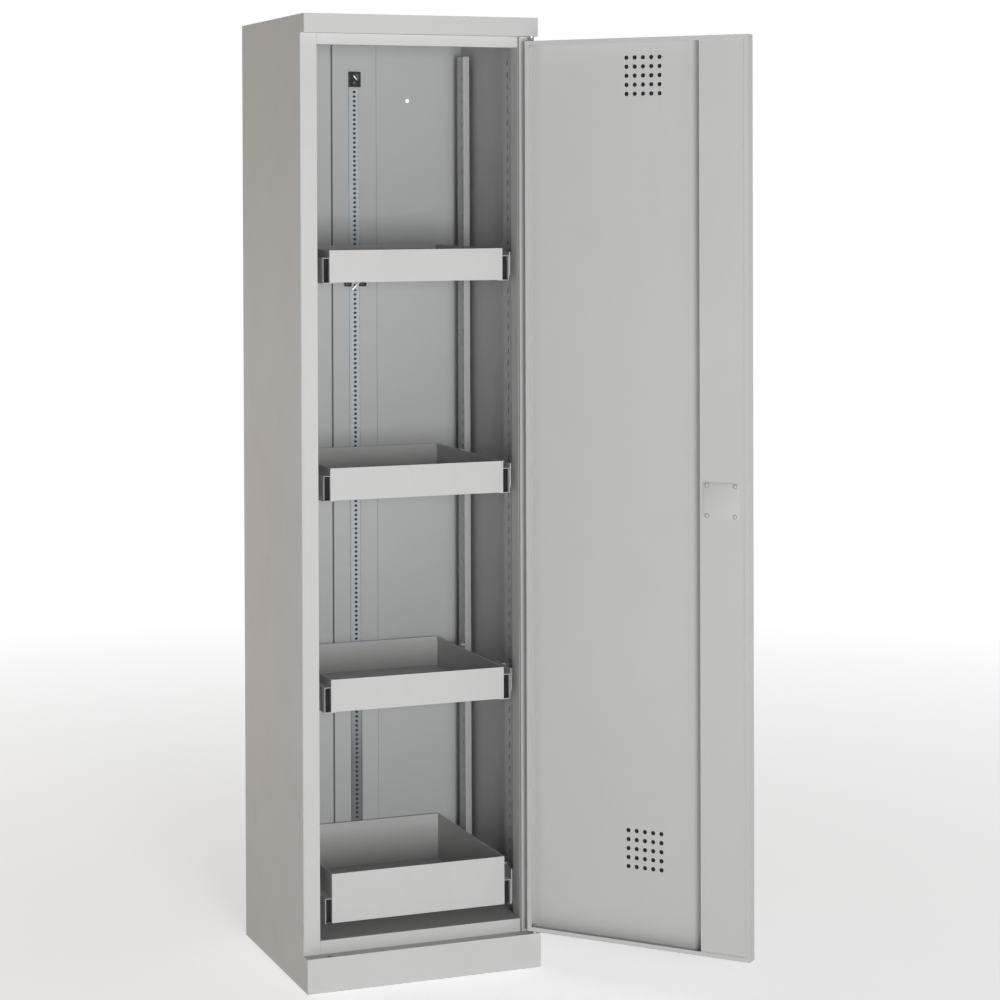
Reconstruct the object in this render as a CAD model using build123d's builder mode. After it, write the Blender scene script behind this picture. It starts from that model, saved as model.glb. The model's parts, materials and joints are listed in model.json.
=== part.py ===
from build123d import *
import math
import os

# Reagent drawer cabinet: a tall sheet-steel cupboard with one door on the right, three shallow
# trays and one deep drawer on telescopic slides.
# Millimetres. X runs to the right, Y to the back, Z up; the front looks along -Y.
# The origin is the middle of the base sheet's underside, on the floor.

# ---- overall size -------------------------------------------------------------------------
WIDTH = 500.0
DEPTH = 450.0
HEIGHT = 1950.0
PANEL = 1.0                 # sheet of the side, back and roof panels
FRAME = 1.2                 # sheet of the frame, base and floor
FACE_STEP = 27.0            # the cap and the plinth stand this far in front of the frame
CAP_HEIGHT = 38.0
PLINTH_HEIGHT = 70.0

# ---- front frame --------------------------------------------------------------------------
POST_WIDTH = 35.0
POST_RETURN = 40.0          # depth of the post's inner face
POST_LIP = 9.0
HEADER_HEIGHT = 22.0        # what shows of the header under the cap
HEADER_UPSTAND = 30.0       # what is hidden behind the cap
SILL_HEIGHT = 27.0          # what shows of the sill above the plinth
SILL_LAP = 12.0             # what is hidden behind the plinth
RAIL_FLANGE = 26.0
REAR_FLANGE = 12.0

# ---- slotted uprights ---------------------------------------------------------------------
UPRIGHT_REACH = 23.0        # from the side panel into the cabinet
UPRIGHT_DEPTH = 38.0
UPRIGHT_LIP = 14.0          # width of the front fold, which stops short of the side panel
UPRIGHT_SHEET = 1.5
UPRIGHT_FROM_FRAME = 70.0   # front upright's front edge behind the frame's face
UPRIGHT_FROM_BACK = 75.0    # rear upright's front edge before the back panel
UPRIGHT_TOP_GAP = 62.0      # from the roof to the upright's top end
SLOT_PITCH = 25.0
SLOT_HEIGHT = 10.0
SLOT_WIDTH = 5.0
SLOT_INSET = 14.0           # slot centre behind the upright's front edge
SLOT_START = 15.5           # first slot centre above the floor panel

# ---- back panel ---------------------------------------------------------------------------
COVER_WIDTH = 100.0
COVER_THICK = 1.5
RAIL_WIDTH = 26.0
RAIL_THICK = 2.0
RAIL_FROM_FLOOR = 124.0
RAIL_FROM_ROOF = 128.0
RAIL_HOLE = 5.0
RAIL_PITCH = 10.0
TOP_CLIP_WIDTH = 26.0
TOP_CLIP_THICK = 8.0
TOP_CLIP_HEIGHT = 33.0
MID_CLIP_WIDTH = 50.0
MID_CLIP_THICK = 7.0        # over the cover
MID_CLIP_HEIGHT = 34.0
MID_CLIP_DROP = 416.0       # its centre below the rail's top end
CLIP_SLOT_LENGTH = 23.5
CLIP_SLOT_WIDTH = 4.0
CLIP_SLOT_TILT = 25.0       # degrees
WALL_HOLE = 9.0
WALL_HOLE_SPAN = 246.0
WALL_HOLE_FROM_ROOF = 157.0

# ---- door ---------------------------------------------------------------------------------
DOOR_OPEN = 131.0           # degrees from closed, as the door stands at rest
DOOR_SIDE_GAP = 5.0
DOOR_TOP_GAP = 10.0
DOOR_BOTTOM_GAP = 8.0
DOOR_THICK = 25.0
DOOR_LIP = 9.0
PIVOT_INSET = 6.5           # pivot line from the door's edge and from its outer face
PIN_RADIUS = 3.0
PIN_FIT = 0.05              # radial running clearance
PIN_COLLAR_RADIUS = 5.0
PIN_COLLAR = 3.0
PIN_ENGAGE = 8.0            # pin inside the door, past its end flange
BUSH_RADIUS = 4.5
BUSH_CLEAR = 0.3
VENT_HOLE = 9.0
VENT_PITCH = 18.2
VENT_COUNT = 5
VENT_FROM_TOP = 75.0
VENT_FROM_BOTTOM = 190.0
VENT_FROM_FREE_EDGE = 236.0

# ---- lock ---------------------------------------------------------------------------------
CHANNEL_WIDTH = 104.0
LOCK_FROM_FREE_EDGE = 59.0
LOCK_FROM_BOTTOM = 906.0
COVER_PLATE = 78.0
COVER_PLATE_THICK = 1.2
RIVET_SPACING = 60.0
RIVET_HEAD = 8.0
RIVET_SHANK = 4.0
RIVET_HEIGHT = 1.4
RIVET_TAPER = 25.0          # degrees, the head's slope
CASE_WIDTH = 49.0
CASE_HEIGHT = 110.0
CASE_SHEET = 1.5
ROSE_RADIUS = 29.0
ROSE_THICK = 8.0
ROSE_CHAMFER = 2.0
SPINDLE_RADIUS = 6.0
SPINDLE_FIT = 0.05
PINION_TEETH = 16
PITCH_RADIUS = 12.0
ADDENDUM = 1.2
DEDENDUM = 1.6
TOOTH_SINK = 1.0            # tooth's foot inside the body that carries it
BACKLASH = 0.4
PRESSURE_ANGLE = 20.0
PINION_THICK = 8.0
RACK_THICK = 6.0
RACK_BACK = 4.9             # rack body behind its tooth roots
RACK_SPARE = 2              # teeth past the mesh at either end of the travel
HANDLE_TURN = 90.0
ROD_RADIUS = 5.0
ROD_FROM_SKIN = 11.5        # rod centre line from the inside of the door skin
ROD_SET_BACK = 2.0          # rod ends inside the door's ends when unlocked
ROD_HOLE_RADIUS = 6.0
ROD_FIT = 0.3
ROD_PINION_GAP = 1.0        # round stretch of a rod clear of the pinion's tips
GUIDE_WIDTH = 26.0
GUIDE_THICK = 20.0
GUIDE_HEIGHT = 18.0
GUIDE_FROM_END = 62.0       # outer guides from the door's ends
GUIDE_FROM_LOCK = 285.0     # inner guides from the lock
HUB_RADIUS = 15.0
HUB_LENGTH = 9.0
GRIP_LENGTH = 84.0
GRIP_WIDTH = 28.0
GRIP_THICK = 20.0
GRIP_FILLET = 3.0
HANDLE_GAP = 0.5
SPINDLE_SOCKET = 9.8        # spindle's length inside the hub
CYLINDER_RADIUS = 8.5
CYLINDER_DEPTH = 10.0
CYLINDER_PROUD = 1.5
KEY_SLOT_WIDTH = 1.6
KEY_SLOT_HEIGHT = 8.0
KEY_SLOT_DEPTH = 4.0

# ---- trays, drawer and slides -------------------------------------------------------------
TRAY_SET_BACK = 13.0        # tray fronts behind the frame's face
TRAY_BACK_GAP = 1.5         # between a tray and the clip on the rail
TRAY_SHEET = 1.2
HEM_HEIGHT = 8.0
PROFILE_WIDTH = 14.0        # side profile outside the tray's wall
PROFILE_LAP = 10.0          # the profile's foot under the tray
TRAY_HEIGHT = 65.0
TRAY_DROP = 15.0            # side profile's top below the tray's edge
DRAWER_HEIGHT = 99.0
DRAWER_DROP = 49.0
TRAY_1_FROM_FLOOR = 1316.5  # undersides above the floor panel
TRAY_2_FROM_FLOOR = 879.0
TRAY_3_FROM_FLOOR = 454.0
DRAWER_FROM_FLOOR = 29.0
SLIDE_CENTRE = 24.0         # slide centre line above the tray's underside
SLIDE_HEIGHT = 45.0
SLIDE_THICK = 12.7
SLIDE_SHEET = 1.2
SLIDE_STEP = 3.6            # height between one member's flange and the next
SLIDE_GAP = 0.4             # between the webs of neighbouring members
SLIDE_TIP = 1.5             # flange ends from the side profile
SLIDE_START = 80.0          # slide's front end behind the tray's front
SLIDE_END = 18.0            # slide's rear end before the tray's back
BRACKET_SHEET = 1.8
BRACKET_CLEAR = 0.5         # between a bracket and the post's inner face
TRAY_BRACKET = 52.0
TRAY_BRACKET_RISE = 6.0     # bracket's centre above the slide's
DRAWER_BRACKET = 76.0
DRAWER_BRACKET_RISE = 1.0
BRACKET_NOSE = 42.0         # front bracket's end behind the frame's face
BRACKET_CORNER = 10.0
BRACKET_LAP = 40.0          # slide length that each bracket carries
BRACKET_FOOT = 24.0         # plate against the upright
FOOT_INSET = 4.0            # foot's edge from the upright's front edge
HOOK_DEPTH = 5.0
HOOK_DROP = 5.0
HOOK_FIT = 0.4

# ---- planes and levels worked out from the sizes above ------------------------------------
HALF = WIDTH / 2
SIDE_IN = HALF - PANEL
FRONT_Y = -DEPTH / 2
BACK_Y = DEPTH / 2
FRAME_Y = FRONT_Y + FACE_STEP
BACK_PANEL_Y = BACK_Y - 2 * PANEL           # its inner face
COVER_Y = BACK_PANEL_Y - COVER_THICK
RAIL_Y = COVER_Y - RAIL_THICK
MID_CLIP_Y = COVER_Y - MID_CLIP_THICK
CAP_BOTTOM = HEIGHT - CAP_HEIGHT
ROOF_UNDER = HEIGHT - PANEL
OPENING_HALF = HALF - POST_WIDTH
OPENING_TOP = CAP_BOTTOM - HEADER_HEIGHT
FLOOR_TOP = PLINTH_HEIGHT + SILL_HEIGHT
FLOOR_UNDER = FLOOR_TOP - FRAME
UPRIGHT_IN = SIDE_IN - UPRIGHT_REACH
UPRIGHT_TOP = HEIGHT - UPRIGHT_TOP_GAP
UPRIGHT_FRONT_Y = FRAME_Y + UPRIGHT_FROM_FRAME
UPRIGHT_REAR_Y = BACK_PANEL_Y - UPRIGHT_FROM_BACK
SLOT_Z0 = FLOOR_TOP + SLOT_START
RAIL_BOTTOM = FLOOR_TOP + RAIL_FROM_FLOOR
RAIL_TOP = HEIGHT - RAIL_FROM_ROOF
MID_CLIP_Z = RAIL_TOP - MID_CLIP_DROP
WALL_HOLE_Z = HEIGHT - WALL_HOLE_FROM_ROOF

DOOR_EDGE = HALF - DOOR_SIDE_GAP
DOOR_WIDTH = 2 * DOOR_EDGE
DOOR_TOP = CAP_BOTTOM - DOOR_TOP_GAP
DOOR_BOTTOM = PLINTH_HEIGHT + DOOR_BOTTOM_GAP
PIVOT_X = DOOR_EDGE - PIVOT_INSET
PIVOT_Y = FRONT_Y + PIVOT_INSET

# The door's own plan: origin on the pivot line, x towards the hinge edge, y into the cabinet.
door_plan = Plane(Location((PIVOT_X, PIVOT_Y, 0), (0, 0, DOOR_OPEN)))
HINGE_X = PIVOT_INSET
FREE_X = HINGE_X - DOOR_WIDTH
SKIN_OUT = -PIVOT_INSET
SKIN_IN = SKIN_OUT + PANEL
LIP_IN = SKIN_OUT + DOOR_THICK
LIP_OUT = LIP_IN - PANEL
CHANNEL_IN = LIP_OUT
CHANNEL_OUT = CHANNEL_IN - PANEL
CHANNEL_X = FREE_X + CHANNEL_WIDTH
COVER_IN = CHANNEL_IN + COVER_PLATE_THICK
LOCK_X = FREE_X + LOCK_FROM_FREE_EDGE
LOCK_Z = DOOR_BOTTOM + LOCK_FROM_BOTTOM
ROD_Y = SKIN_IN + ROD_FROM_SKIN
RACK_PITCH = 2 * math.pi * PITCH_RADIUS / PINION_TEETH
ROD_TRAVEL = math.radians(HANDLE_TURN) * PITCH_RADIUS
ROD_OFFSET = PITCH_RADIUS + DEDENDUM + RACK_BACK / 2
door_face = Plane(
    origin=door_plan.from_local_coords(Vector(0, SKIN_OUT, 0)),
    x_dir=door_plan.x_dir,
    z_dir=-door_plan.y_dir,
)

# Across the opening, from the post inwards: bracket, slide, side profile, tray.
BRACKET_OUT = OPENING_HALF - BRACKET_CLEAR
SLIDE_OUT = BRACKET_OUT - BRACKET_SHEET
PROFILE_OUT = SLIDE_OUT - SLIDE_THICK
TRAY_HALF = PROFILE_OUT - PROFILE_WIDTH
TRAY_FRONT = FRAME_Y + TRAY_SET_BACK
TRAY_BACK = MID_CLIP_Y - TRAY_BACK_GAP
SLIDE_Y0 = TRAY_FRONT + SLIDE_START
SLIDE_Y1 = TRAY_BACK - SLIDE_END

os.makedirs("parts", exist_ok=True)


def slab(x0, x1, y0, y1, z0, z1, plan=Plane.XY, mode=Mode.ADD):
    """A block between six limits, drawn on the given plan; it joins the part being built."""
    with BuildSketch(plan.offset(z0)) as outline:
        with Locations(((x0 + x1) / 2, (y0 + y1) / 2)):
            Rectangle(x1 - x0, y1 - y0)
    extrude(outline.sketch, amount=z1 - z0, mode=mode)


def post(x, y, radius, z0, z1, plan=Plane.XY, mode=Mode.ADD):
    """An upright cylinder on the given plan; it joins the part being built."""
    with BuildSketch(plan.offset(z0)) as outline:
        with Locations((x, y)):
            Circle(radius)
    extrude(outline.sketch, amount=z1 - z0, mode=mode)


def side_slab(sign, inner, outer, y0, y1, z0, z1, mode=Mode.ADD):
    """A block on the left (-1) or right (+1), given by its distances from the middle."""
    slab(*sorted((sign * inner, sign * outer)), y0, y1, z0, z1, mode=mode)


def write(builder, name):
    builder.part.label = name
    export_step(builder.part, f"parts/{name}.step")


SIDES = (("left", -1), ("right", 1))

# ---- side panels: full-height sheets whose front edge steps forward at cap and plinth ------
for side, sign in SIDES:
    with BuildPart() as side_panel:
        with BuildSketch(Plane.YZ.offset(min(sign * HALF, sign * SIDE_IN))):
            with BuildLine():
                Polyline(
                    (FRONT_Y, 0),
                    (BACK_Y, 0),
                    (BACK_Y, HEIGHT),
                    (FRONT_Y, HEIGHT),
                    (FRONT_Y, CAP_BOTTOM),
                    (FRAME_Y, CAP_BOTTOM),
                    (FRAME_Y, PLINTH_HEIGHT),
                    (FRONT_Y, PLINTH_HEIGHT),
                    close=True,
                )
            make_face()
        extrude(amount=PANEL)
        side_slab(sign, SIDE_IN - REAR_FLANGE, SIDE_IN, BACK_Y - PANEL, BACK_Y, 0, HEIGHT)
    write(side_panel, f"side_panel_{side}")

# ---- back panel with its two wall-fixing holes ---------------------------------------------
with BuildPart() as back_panel:
    slab(-SIDE_IN, SIDE_IN, BACK_PANEL_Y, BACK_Y - PANEL, FLOOR_UNDER, ROOF_UNDER)
    with BuildSketch(Plane.XZ.offset(-BACK_Y)):
        with Locations((-WALL_HOLE_SPAN / 2, WALL_HOLE_Z), (WALL_HOLE_SPAN / 2, WALL_HOLE_Z)):
            Circle(WALL_HOLE / 2)
    extrude(amount=BACK_Y - BACK_PANEL_Y, mode=Mode.SUBTRACT)
write(back_panel, "back_panel")

# ---- raised centre cover of the back, the perforated rail on it and the rail's clips -------
with BuildPart() as back_cover:
    slab(-COVER_WIDTH / 2, COVER_WIDTH / 2, COVER_Y, BACK_PANEL_Y, FLOOR_TOP, ROOF_UNDER)
write(back_cover, "back_cover")

rail_holes = int((RAIL_TOP - RAIL_BOTTOM) / RAIL_PITCH) - 1
with BuildPart() as rail:
    slab(-RAIL_WIDTH / 2, RAIL_WIDTH / 2, RAIL_Y, COVER_Y, RAIL_BOTTOM, RAIL_TOP)
    with BuildSketch(Plane.XZ.offset(-COVER_Y)):
        with Locations((0, (RAIL_BOTTOM + RAIL_TOP) / 2)):
            with GridLocations(0, RAIL_PITCH, 1, rail_holes):
                Circle(RAIL_HOLE / 2)
    extrude(amount=RAIL_THICK, mode=Mode.SUBTRACT)
write(rail, "perforated_rail")

with BuildPart() as clips:
    for width, height, front_y, seat_y, z0 in (
        (TOP_CLIP_WIDTH, TOP_CLIP_HEIGHT, COVER_Y - TOP_CLIP_THICK, COVER_Y, RAIL_TOP),
        (MID_CLIP_WIDTH, MID_CLIP_HEIGHT, MID_CLIP_Y, RAIL_Y, MID_CLIP_Z - MID_CLIP_HEIGHT / 2),
    ):
        slab(-width / 2, width / 2, front_y, seat_y, z0, z0 + height)
        with BuildSketch(Plane.XZ.offset(-front_y)):
            with Locations(Location((0, z0 + height / 2), CLIP_SLOT_TILT)):
                SlotOverall(CLIP_SLOT_LENGTH, CLIP_SLOT_WIDTH)
        extrude(amount=-(seat_y - front_y) / 2, mode=Mode.SUBTRACT)
write(clips, "rail_clips")

# ---- roof with its front fascia and the step back to the frame -----------------------------
UPPER_ROD_X = PIVOT_X + LOCK_X + ROD_OFFSET
LOWER_ROD_X = PIVOT_X + LOCK_X - ROD_OFFSET
CLOSED_ROD_Y = PIVOT_Y + ROD_Y
with BuildPart() as cap:
    slab(-SIDE_IN, SIDE_IN, FRONT_Y, BACK_Y - PANEL, ROOF_UNDER, HEIGHT)
    slab(-SIDE_IN, SIDE_IN, FRONT_Y, FRONT_Y + PANEL, CAP_BOTTOM, ROOF_UNDER)
    slab(-SIDE_IN, SIDE_IN, FRONT_Y + PANEL, FRAME_Y, CAP_BOTTOM, CAP_BOTTOM + PANEL)
    cap_step = (CAP_BOTTOM, CAP_BOTTOM + PANEL)
    post(UPPER_ROD_X, CLOSED_ROD_Y, ROD_HOLE_RADIUS, *cap_step, mode=Mode.SUBTRACT)
    post(PIVOT_X, PIVOT_Y, PIN_RADIUS, *cap_step, mode=Mode.SUBTRACT)
write(cap, "roof_cap")

# ---- plinth: one folded sheet, ledge, front, base and rear upstand --------------------------
with BuildPart() as plinth:
    slab(-SIDE_IN, SIDE_IN, FRONT_Y, BACK_Y - PANEL, 0, FRAME)
    slab(-SIDE_IN, SIDE_IN, FRONT_Y, FRONT_Y + FRAME, FRAME, PLINTH_HEIGHT)
    slab(-SIDE_IN, SIDE_IN, FRONT_Y + FRAME, FRAME_Y, PLINTH_HEIGHT - FRAME, PLINTH_HEIGHT)
    slab(-SIDE_IN, SIDE_IN, BACK_Y - PANEL - FRAME, BACK_Y - PANEL, FRAME, FLOOR_UNDER)
    ledge = (PLINTH_HEIGHT - FRAME, PLINTH_HEIGHT)
    post(LOWER_ROD_X, CLOSED_ROD_Y, ROD_HOLE_RADIUS, *ledge, mode=Mode.SUBTRACT)
    post(PIVOT_X, PIVOT_Y, PIN_RADIUS, *ledge, mode=Mode.SUBTRACT)
write(plinth, "plinth")

# ---- floor panel, notched round the two posts ------------------------------------------------
with BuildPart() as floor_panel:
    slab(-SIDE_IN, SIDE_IN, FRAME_Y + FRAME, BACK_PANEL_Y, FLOOR_UNDER, FLOOR_TOP)
    for side, sign in SIDES:
        side_slab(
            sign, OPENING_HALF, SIDE_IN, FRAME_Y, FRAME_Y + POST_RETURN,
            FLOOR_UNDER, FLOOR_TOP, mode=Mode.SUBTRACT,
        )
write(floor_panel, "floor_panel")

# ---- front frame: two posts, header and sill -------------------------------------------------
for side, sign in SIDES:
    with BuildPart() as frame_post:
        post_z = (FRAME, ROOF_UNDER)
        behind_face = FRAME_Y + FRAME
        back_fold = FRAME_Y + POST_RETURN
        side_slab(sign, OPENING_HALF, SIDE_IN, FRAME_Y, behind_face, *post_z)
        side_slab(sign, OPENING_HALF, OPENING_HALF + FRAME, behind_face, back_fold, *post_z)
        side_slab(
            sign, OPENING_HALF + FRAME, OPENING_HALF + POST_LIP, back_fold - FRAME, back_fold, *post_z,
        )
        side_slab(sign, SIDE_IN - FRAME, SIDE_IN, behind_face, behind_face + POST_LIP, *post_z)
    write(frame_post, f"frame_post_{side}")

with BuildPart() as header:
    slab(-OPENING_HALF, OPENING_HALF, FRAME_Y, FRAME_Y + FRAME, OPENING_TOP, CAP_BOTTOM + HEADER_UPSTAND)
    slab(
        -OPENING_HALF, OPENING_HALF, FRAME_Y + FRAME, FRAME_Y + RAIL_FLANGE,
        OPENING_TOP, OPENING_TOP + FRAME,
    )
write(header, "header_rail")

with BuildPart() as sill:
    slab(-OPENING_HALF, OPENING_HALF, FRAME_Y, FRAME_Y + FRAME, PLINTH_HEIGHT - SILL_LAP, FLOOR_TOP)
    slab(
        -OPENING_HALF, OPENING_HALF, FRAME_Y + FRAME, FRAME_Y + RAIL_FLANGE,
        PLINTH_HEIGHT - SILL_LAP, PLINTH_HEIGHT - SILL_LAP + FRAME,
    )
write(sill, "sill_rail")

# ---- slotted uprights on the side panels -----------------------------------------------------
slot_count = int((UPRIGHT_TOP - SLOT_HEIGHT - SLOT_Z0) / SLOT_PITCH) + 1
slots_middle = SLOT_Z0 + (slot_count - 1) * SLOT_PITCH / 2
for place, front_y in (("front", UPRIGHT_FRONT_Y), ("rear", UPRIGHT_REAR_Y)):
    rear_y = front_y + UPRIGHT_DEPTH
    for side, sign in SIDES:
        with BuildPart() as upright:
            upright_z = (FLOOR_TOP, UPRIGHT_TOP)
            web = UPRIGHT_IN + UPRIGHT_SHEET
            side_slab(sign, UPRIGHT_IN, web, front_y, rear_y, *upright_z)
            side_slab(sign, web, UPRIGHT_IN + UPRIGHT_LIP, front_y, front_y + UPRIGHT_SHEET, *upright_z)
            side_slab(sign, web, SIDE_IN, rear_y - UPRIGHT_SHEET, rear_y, *upright_z)
            with BuildSketch(Plane.YZ.offset(min(sign * UPRIGHT_IN, sign * web))):
                with Locations((front_y + SLOT_INSET, slots_middle)):
                    with GridLocations(0, SLOT_PITCH, 1, slot_count):
                        Rectangle(SLOT_WIDTH, SLOT_HEIGHT)
            extrude(amount=UPRIGHT_SHEET, mode=Mode.SUBTRACT)
        write(upright, f"upright_{place}_{side}")

# ---- the pins that the door turns on, and their bushes in the door's ends ---------------------
bottom_collar_top = PLINTH_HEIGHT + PIN_COLLAR
top_collar_under = CAP_BOTTOM - PIN_COLLAR
with BuildPart() as pins:
    post(PIVOT_X, PIVOT_Y, PIN_RADIUS, PLINTH_HEIGHT - FRAME, DOOR_BOTTOM + PANEL + PIN_ENGAGE)
    post(PIVOT_X, PIVOT_Y, PIN_COLLAR_RADIUS, PLINTH_HEIGHT, bottom_collar_top)
    post(PIVOT_X, PIVOT_Y, PIN_RADIUS, DOOR_TOP - PANEL - PIN_ENGAGE, CAP_BOTTOM + PANEL)
    post(PIVOT_X, PIVOT_Y, PIN_COLLAR_RADIUS, top_collar_under, CAP_BOTTOM)
write(pins, "hinge_pins")

bush_spans = (
    (bottom_collar_top + BUSH_CLEAR, DOOR_BOTTOM + PANEL + PIN_ENGAGE),
    (DOOR_TOP - PANEL - PIN_ENGAGE, top_collar_under - BUSH_CLEAR),
)
with BuildPart() as bushes:
    for span in bush_spans:
        post(0, 0, BUSH_RADIUS, *span, plan=door_plan)
        post(0, 0, PIN_RADIUS + PIN_FIT, *span, plan=door_plan, mode=Mode.SUBTRACT)
write(bushes, "hinge_bushes")

# ---- door skin: a folded pan with lips, vents, and holes for pins, rods and spindle ------------
with BuildPart() as door_skin:
    slab(FREE_X, HINGE_X, SKIN_OUT, LIP_IN, DOOR_BOTTOM, DOOR_TOP, plan=door_plan)
    slab(
        FREE_X + PANEL, HINGE_X - PANEL, SKIN_IN, LIP_OUT,
        DOOR_BOTTOM + PANEL, DOOR_TOP - PANEL, plan=door_plan, mode=Mode.SUBTRACT,
    )
    slab(
        FREE_X + DOOR_LIP, HINGE_X - DOOR_LIP, LIP_OUT, LIP_IN,
        DOOR_BOTTOM + DOOR_LIP, DOOR_TOP - DOOR_LIP, plan=door_plan, mode=Mode.SUBTRACT,
    )
    with BuildSketch(door_face):
        for vent_z in (DOOR_TOP - VENT_FROM_TOP, DOOR_BOTTOM + VENT_FROM_BOTTOM):
            with Locations((FREE_X + VENT_FROM_FREE_EDGE, vent_z)):
                with GridLocations(VENT_PITCH, VENT_PITCH, VENT_COUNT, VENT_COUNT):
                    Circle(VENT_HOLE / 2)
        with Locations((LOCK_X, LOCK_Z)):
            Circle(SPINDLE_RADIUS + SPINDLE_FIT)
    extrude(amount=-PANEL, mode=Mode.SUBTRACT)
    bottom_flange = (DOOR_BOTTOM, DOOR_BOTTOM + PANEL)
    top_flange = (DOOR_TOP - PANEL, DOOR_TOP)
    for flange in (bottom_flange, top_flange):
        post(0, 0, BUSH_RADIUS, *flange, plan=door_plan, mode=Mode.SUBTRACT)
    rod_hole = ROD_RADIUS + ROD_FIT
    post(LOCK_X - ROD_OFFSET, ROD_Y, rod_hole, *bottom_flange, plan=door_plan, mode=Mode.SUBTRACT)
    post(LOCK_X + ROD_OFFSET, ROD_Y, rod_hole, *top_flange, plan=door_plan, mode=Mode.SUBTRACT)
write(door_skin, "door_skin")

# ---- lock channel along the free edge, with holes for the cover plate's rivets -----------------
with BuildPart() as channel:
    channel_z = (DOOR_BOTTOM + PANEL, DOOR_TOP - PANEL)
    slab(FREE_X + PANEL, CHANNEL_X, CHANNEL_OUT, CHANNEL_IN, *channel_z, plan=door_plan)
    slab(CHANNEL_X - PANEL, CHANNEL_X, SKIN_IN, CHANNEL_OUT, *channel_z, plan=door_plan)
    with BuildSketch(door_face.offset(SKIN_OUT - CHANNEL_IN)):
        with Locations((LOCK_X, LOCK_Z)):
            with GridLocations(RIVET_SPACING, RIVET_SPACING, 2, 2):
                Circle(RIVET_SHANK / 2)
    extrude(amount=PANEL, mode=Mode.SUBTRACT)
write(channel, "lock_channel")

with BuildPart() as cover_plate:
    with BuildSketch(door_face.offset(SKIN_OUT - COVER_IN)):
        with Locations((LOCK_X, LOCK_Z)):
            Rectangle(COVER_PLATE, COVER_PLATE)
            with GridLocations(RIVET_SPACING, RIVET_SPACING, 2, 2):
                Circle(RIVET_SHANK / 2, mode=Mode.SUBTRACT)
    extrude(amount=COVER_PLATE_THICK)
write(cover_plate, "lock_cover_plate")

with BuildPart() as rivets:
    for radius, amount, taper in (
        (RIVET_SHANK / 2, PANEL + COVER_PLATE_THICK, 0),
        (RIVET_HEAD / 2, -RIVET_HEIGHT, RIVET_TAPER),
    ):
        with BuildSketch(door_face.offset(SKIN_OUT - COVER_IN)):
            with Locations((LOCK_X, LOCK_Z)):
                with GridLocations(RIVET_SPACING, RIVET_SPACING, 2, 2):
                    Circle(radius)
        extrude(amount=amount, taper=taper)
write(rivets, "lock_rivets")

# ---- lock case: a channel on the skin that carries the pinion's spindle ------------------------
with BuildPart() as case:
    case_z = (LOCK_Z - CASE_HEIGHT / 2, LOCK_Z + CASE_HEIGHT / 2)
    case_base = (SKIN_IN, SKIN_IN + CASE_SHEET)
    case_x = (LOCK_X - CASE_WIDTH / 2, LOCK_X + CASE_WIDTH / 2)
    slab(*case_x, *case_base, *case_z, plan=door_plan)
    for wall_x in (case_x[0], case_x[1] - CASE_SHEET):
        slab(wall_x, wall_x + CASE_SHEET, case_base[1], CHANNEL_OUT, *case_z, plan=door_plan)
    with BuildSketch(door_face.offset(SKIN_OUT - case_base[1])):
        with Locations((LOCK_X, LOCK_Z)):
            Circle(SPINDLE_RADIUS + SPINDLE_FIT)
    extrude(amount=CASE_SHEET, mode=Mode.SUBTRACT)
write(case, "lock_case")

# ---- rod guides: blocks on the skin that the two rods slide through -----------------------------
guide_places = (
    (DOOR_BOTTOM + GUIDE_FROM_END, LOCK_X - ROD_OFFSET),
    (LOCK_Z - GUIDE_FROM_LOCK, LOCK_X - ROD_OFFSET),
    (LOCK_Z + GUIDE_FROM_LOCK, LOCK_X + ROD_OFFSET),
    (DOOR_TOP - GUIDE_FROM_END, LOCK_X + ROD_OFFSET),
)
with BuildPart() as guides:
    for guide_z, rod_x in guide_places:
        guide_z0 = guide_z - GUIDE_HEIGHT / 2
        guide_z1 = guide_z + GUIDE_HEIGHT / 2
        slab(
            rod_x - GUIDE_WIDTH / 2, rod_x + GUIDE_WIDTH / 2, SKIN_IN, SKIN_IN + GUIDE_THICK,
            guide_z0, guide_z1, plan=door_plan,
        )
        post(rod_x, ROD_Y, rod_hole, guide_z0, guide_z1, plan=door_plan, mode=Mode.SUBTRACT)
write(guides, "rod_guides")

# ---- rose, handle, key cylinder and pinion -------------------------------------------------------
outward = Axis(door_face.origin, door_face.z_dir)
with BuildPart() as rose:
    with BuildSketch(door_face):
        with Locations((LOCK_X, LOCK_Z)):
            Circle(ROSE_RADIUS)
            Circle(SPINDLE_RADIUS + SPINDLE_FIT, mode=Mode.SUBTRACT)
    extrude(amount=ROSE_THICK)
    rose_rims = rose.edges().filter_by(GeomType.CIRCLE).group_by(SortBy.RADIUS)[-1]
    chamfer(rose_rims.sort_by(outward)[-1], ROSE_CHAMFER)
write(rose, "handle_rose")

hub_start = ROSE_THICK + HANDLE_GAP
grip_start = hub_start + HUB_LENGTH
grip_end = grip_start + GRIP_THICK
spindle_end = hub_start + SPINDLE_SOCKET
with BuildPart() as handle:
    with BuildSketch(door_face.offset(grip_start)):
        with Locations((LOCK_X, LOCK_Z)):
            SlotOverall(GRIP_LENGTH, GRIP_WIDTH)
    extrude(amount=GRIP_THICK)
    fillet(handle.faces().sort_by(outward)[-1].edges(), GRIP_FILLET)
    with BuildSketch(door_face.offset(hub_start)):
        with Locations((LOCK_X, LOCK_Z)):
            Circle(HUB_RADIUS)
    extrude(amount=HUB_LENGTH)
    with BuildSketch(door_face.offset(hub_start)):
        with Locations((LOCK_X, LOCK_Z)):
            Circle(SPINDLE_RADIUS)
    extrude(amount=spindle_end - hub_start, mode=Mode.SUBTRACT)
    with BuildSketch(door_face.offset(grip_end)):
        with Locations((LOCK_X, LOCK_Z)):
            Circle(CYLINDER_RADIUS)
    extrude(amount=-CYLINDER_DEPTH, mode=Mode.SUBTRACT)
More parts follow.
